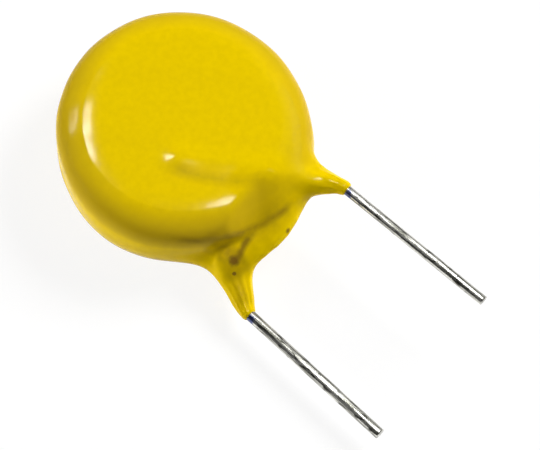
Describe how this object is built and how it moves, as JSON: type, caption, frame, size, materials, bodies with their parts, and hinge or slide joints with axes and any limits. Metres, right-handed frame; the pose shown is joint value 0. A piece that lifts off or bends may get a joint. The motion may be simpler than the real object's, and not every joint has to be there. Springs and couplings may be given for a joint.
{
  "type": "ceramic disc capacitor",
  "caption": "Disc capacitor in a glossy yellow dipped coating that runs down on to straight tinned radial wire leads.",
  "frame": {"origin": "midway between the points where the leads leave the coating, on the mid-plane of the disc", "axes": "-Y the way the leads point, +Y towards the disc, +Z out of the front face, +X towards the lead soldered to the front face"},
  "size_m": [0.0164, 0.0308, 0.0056],
  "materials": {
    "coating": "glossy dipped resin, cured, yellow",
    "ceramic": "fired ceramic, dull",
    "silver": "fired silver layer, dull",
    "solder": "soft solder, slightly dull",
    "wire": "tinned wire with drawn streaks"
  },
  "bodies": {
    "root": {"coating": "coating", "ceramic_disc": "ceramic", "front_electrode": "silver", "back_electrode": "silver", "front_solder": "solder", "back_solder": "solder", "front_lead": "wire", "back_lead": "wire"}
  },
  "joints": []
}
